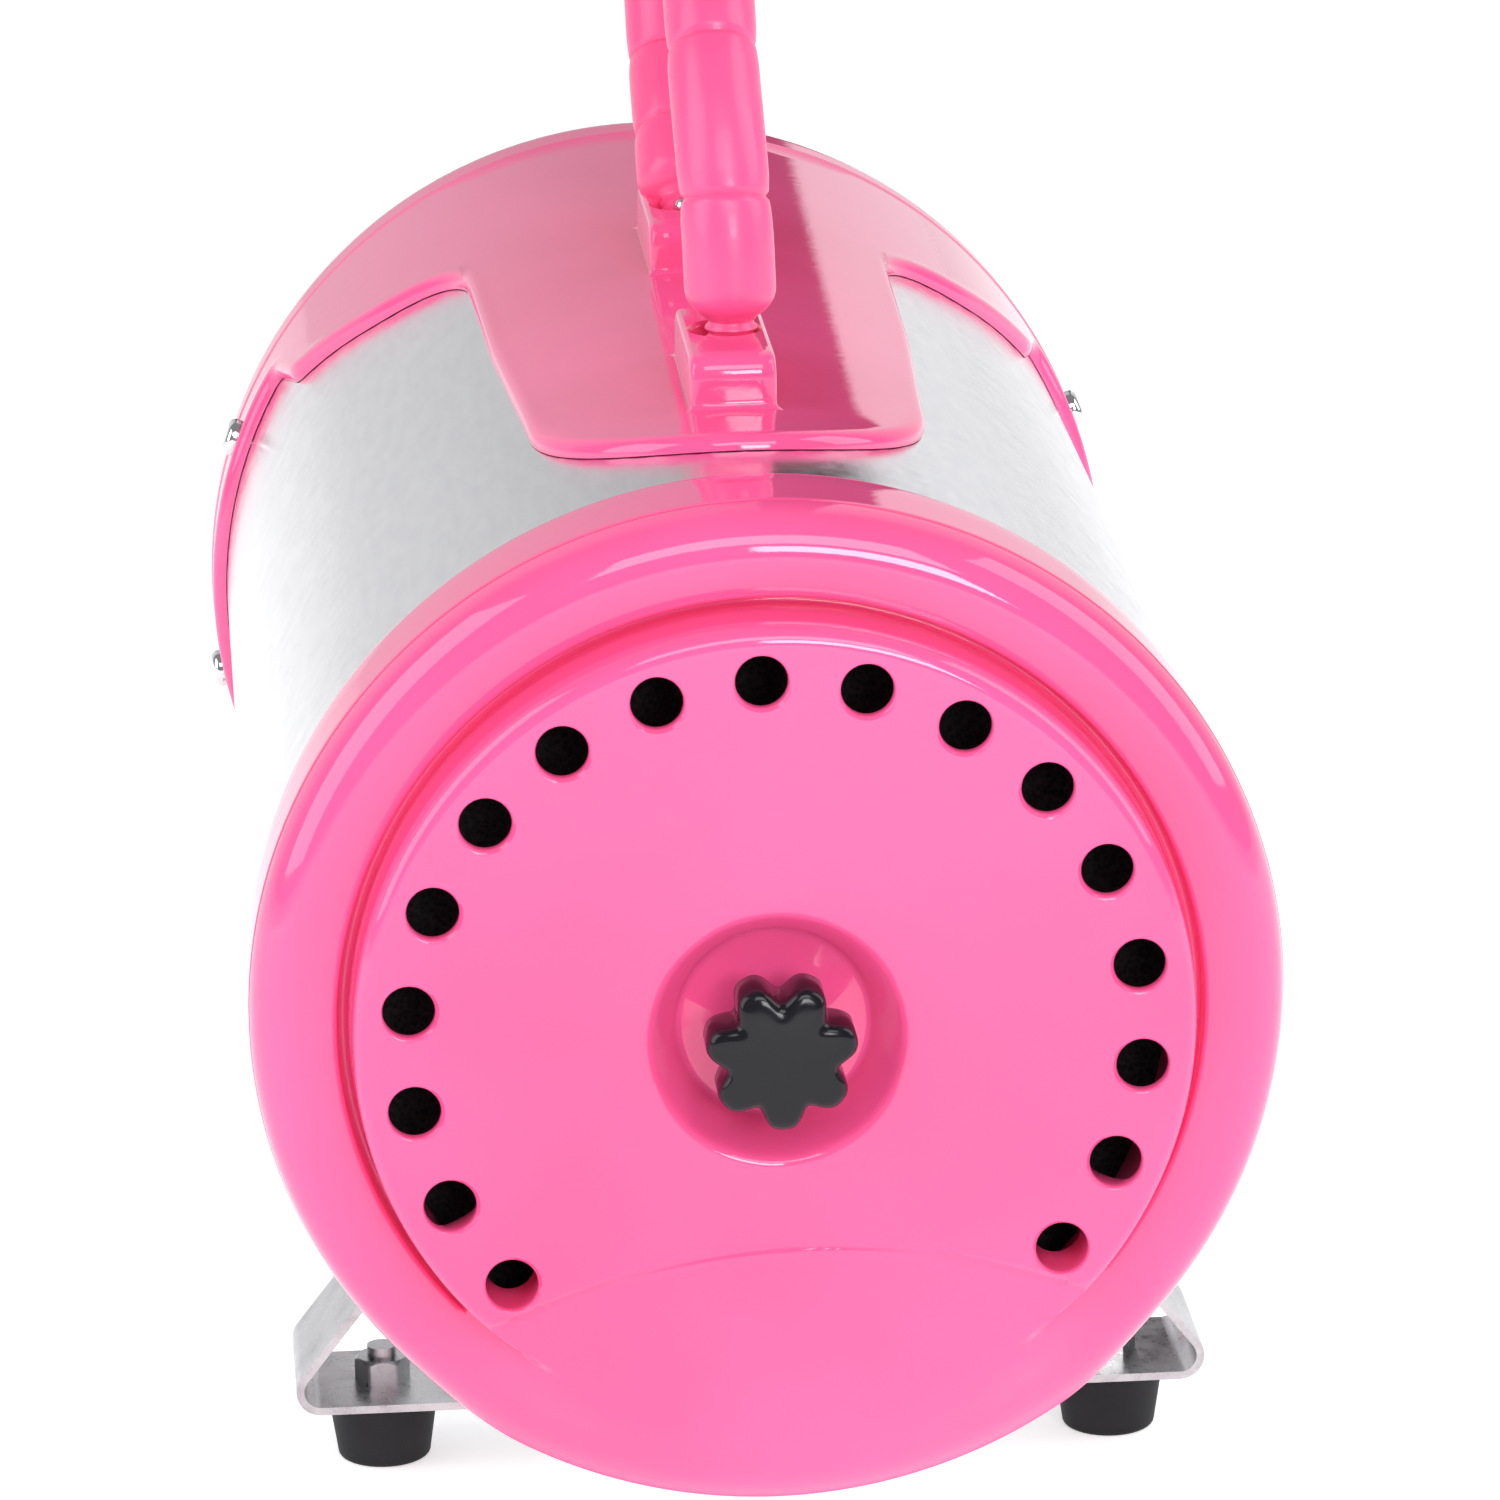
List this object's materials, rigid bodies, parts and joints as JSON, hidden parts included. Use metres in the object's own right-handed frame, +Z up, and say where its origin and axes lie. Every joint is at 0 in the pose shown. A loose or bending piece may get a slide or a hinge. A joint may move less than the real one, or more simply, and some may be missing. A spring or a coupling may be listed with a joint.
{
  "type": "grooming dryer",
  "caption": "Barrel-shaped forced-air pet grooming dryer: steel tube on foot straps, moulded filter cap with star knob, saddle, bow handle and rear hose port.",
  "frame": {"origin": "on the floor, under the middle of the dryer", "axes": "+Z up, +Y along the barrel from the filter cap to the hose port, +X to the right seen from the cap"},
  "size_m": [0.2052, 0.4066, 0.3144],
  "materials": {
    "pink_plastic": "high gloss moulded",
    "black_plastic": "gloss moulded",
    "dark_plastic": "matt moulded",
    "steel_sheet": "bright plated sheet",
    "plated_steel": "zinc plated",
    "bright_steel": "bright plated",
    "rubber": "matt",
    "brass": "turned",
    "copper": "turned copper",
    "laminated_steel": "varnished laminations",
    "cast_metal": "as cast",
    "foam": "open cell foam",
    "mica": "mica board",
    "board": "glass-fibre board"
  },
  "bodies": {
    "housing": {"barrel_tube": "steel_sheet", "sound_lining": "foam", "filter_stud": "plated_steel", "filter_foam": "foam", "filter_guard": "plated_steel", "guard_ring": "plated_steel", "bulkhead": "plated_steel", "fan_gasket": "rubber", "fan_housing": "cast_metal", "stage_plate": "cast_metal", "inlet_spider": "plated_steel", "motor_field": "laminated_steel", "motor_frame": "cast_metal", "bearing_front": "bright_steel", "bearing_back": "bright_steel", "brushes": "brass", "motor_ring": "rubber", "motor_cradle": "plated_steel", "heater_frame": "mica", "heater_coils": "bright_steel", "outlet_nose": "pink_plastic", "hose_port": "black_plastic", "regulator": "dark_plastic", "power_switch": "dark_plastic", "heat_switch": "dark_plastic", "cord_gland": "dark_plastic", "control_board": "board", "board_posts": "dark_plastic", "rear_collar": "pink_plastic", "carry_handle": "pink_plastic", "handle_screws": "bright_steel", "collar_screws": "bright_steel", "foot_strap_front": "plated_steel", "foot_strap_rear": "plated_steel", "strap_rivets": "plated_steel", "rubber_feet": "rubber", "foot_bolts": "plated_steel", "foot_nuts": "plated_steel"},
    "cap": {"filter_cap": "pink_plastic"},
    "knob": {"star_knob": "black_plastic", "knob_insert": "brass"},
    "rotor": {"rotor_shaft": "bright_steel", "fan_wheel_front": "cast_metal", "fan_wheel_back": "cast_metal", "armature": "laminated_steel", "commutator": "copper"},
    "speed": {"speed_knob": "black_plastic"},
    "power": {"power_rocker": "black_plastic"},
    "heat": {"heat_rocker": "black_plastic"}
  },
  "joints": [
    {"name": "cap_pull", "type": "slide", "parent": "housing", "child": "cap", "axis": [0, -1, 0], "range_m": [0, 0.06]},
    {"name": "knob_turn", "type": "hinge", "parent": "cap", "child": "knob", "pos_m": [0, -0.18875, 0.1184], "axis": [0, -1, 0], "continuous": true},
    {"name": "rotor_spin", "type": "hinge", "parent": "housing", "child": "rotor", "pos_m": [0, -0.00875, 0.1184], "axis": [0, 1, 0], "continuous": true},
    {"name": "speed_turn", "type": "hinge", "parent": "housing", "child": "speed", "pos_m": [0, 0.18325, 0.1624], "axis": [0, -1, 0], "range_deg": [0, 280]},
    {"name": "power_tip", "type": "hinge", "parent": "housing", "child": "power", "pos_m": [-0.034, 0.18025, 0.1504], "axis": [1, 0, 0], "range_deg": [-18, 0]},
    {"name": "heat_tip", "type": "hinge", "parent": "housing", "child": "heat", "pos_m": [0.034, 0.18025, 0.1504], "axis": [1, 0, 0], "range_deg": [-18, 0]}
  ]
}
